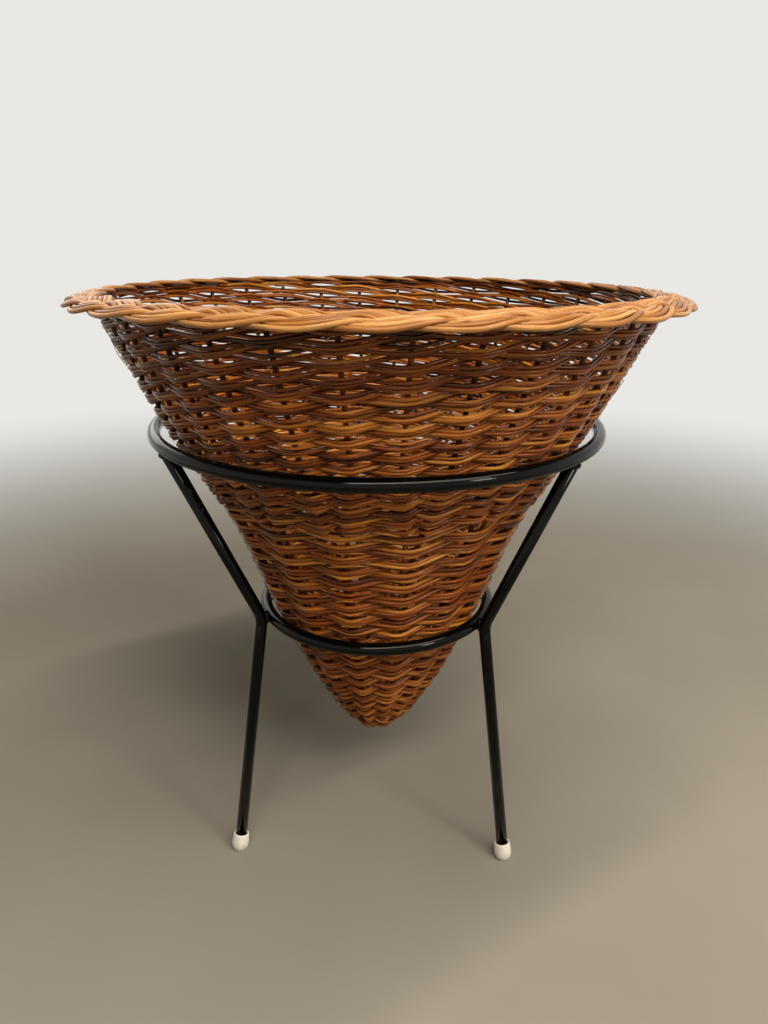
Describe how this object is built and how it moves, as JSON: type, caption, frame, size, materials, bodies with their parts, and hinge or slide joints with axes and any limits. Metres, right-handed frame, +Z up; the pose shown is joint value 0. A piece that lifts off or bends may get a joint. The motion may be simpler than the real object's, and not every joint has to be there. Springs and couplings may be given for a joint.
{
  "type": "wicker plant basket",
  "caption": "Deep cone of woven willow with a plaited border, hung point down in a stand of bent black rod; it lifts out of the two rings that carry it.",
  "frame": {"origin": "on the floor under the common axis of the rings and the cone", "axes": "+Z up along that axis, -Y towards the viewer of the picture, +X to the viewer's right"},
  "size_m": [0.598, 0.598, 0.6154],
  "materials": {
    "black_enamel": "glossy black enamel on steel rod",
    "cream_vinyl": "off-white satin push-on tips",
    "brown_willow": "varnished willow, chestnut brown",
    "dark_willow": "varnished willow, darker uprights",
    "gold_willow": "varnished willow, golden tan border"
  },
  "bodies": {
    "stand": {"upper_ring": "black_enamel", "lower_ring": "black_enamel", "leg_left": "black_enamel", "foot_left": "cream_vinyl", "weld_upper_left": "black_enamel", "weld_lower_left": "black_enamel", "leg_right": "black_enamel", "foot_right": "cream_vinyl", "weld_upper_right": "black_enamel", "weld_lower_right": "black_enamel", "leg_rear": "black_enamel", "foot_rear": "cream_vinyl", "weld_upper_rear": "black_enamel", "weld_lower_rear": "black_enamel"},
    "basket": {"base_bowl": "dark_willow", "stake_01": "dark_willow", "stake_02": "dark_willow", "stake_03": "dark_willow", "stake_04": "dark_willow", "stake_05": "dark_willow", "stake_06": "dark_willow", "stake_07": "dark_willow", "stake_08": "dark_willow", "stake_09": "dark_willow", "stake_10": "dark_willow", "stake_11": "dark_willow", "stake_12": "dark_willow", "stake_13": "dark_willow", "stake_14": "dark_willow", "stake_15": "dark_willow", "stake_16": "dark_willow", "stake_17": "dark_willow", "stake_18": "dark_willow", "stake_19": "dark_willow", "stake_20": "dark_willow", "stake_21": "dark_willow", "stake_22": "dark_willow", "stake_23": "dark_willow", "stake_24": "dark_willow", "stake_25": "dark_willow", "stake_26": "dark_willow", "stake_27": "dark_willow", "stake_28": "dark_willow", "stake_29": "dark_willow", "stake_30": "dark_willow", "stake_31": "dark_willow", "stake_32": "dark_willow", "weaver_1a": "brown_willow", "weaver_1b": "brown_willow", "weaver_2a": "brown_willow", "weaver_2b": "brown_willow", "weaver_3a": "brown_willow", "weaver_3b": "brown_willow", "weaver_4a": "brown_willow", "weaver_4b": "brown_willow", "plait_a": "gold_willow", "plait_b": "gold_willow", "plait_c": "gold_willow"}
  },
  "joints": [
    {"name": "basket_lift", "type": "slide", "parent": "stand", "child": "basket", "axis": [0, 0, 1], "range_m": [0, 0.4]}
  ]
}
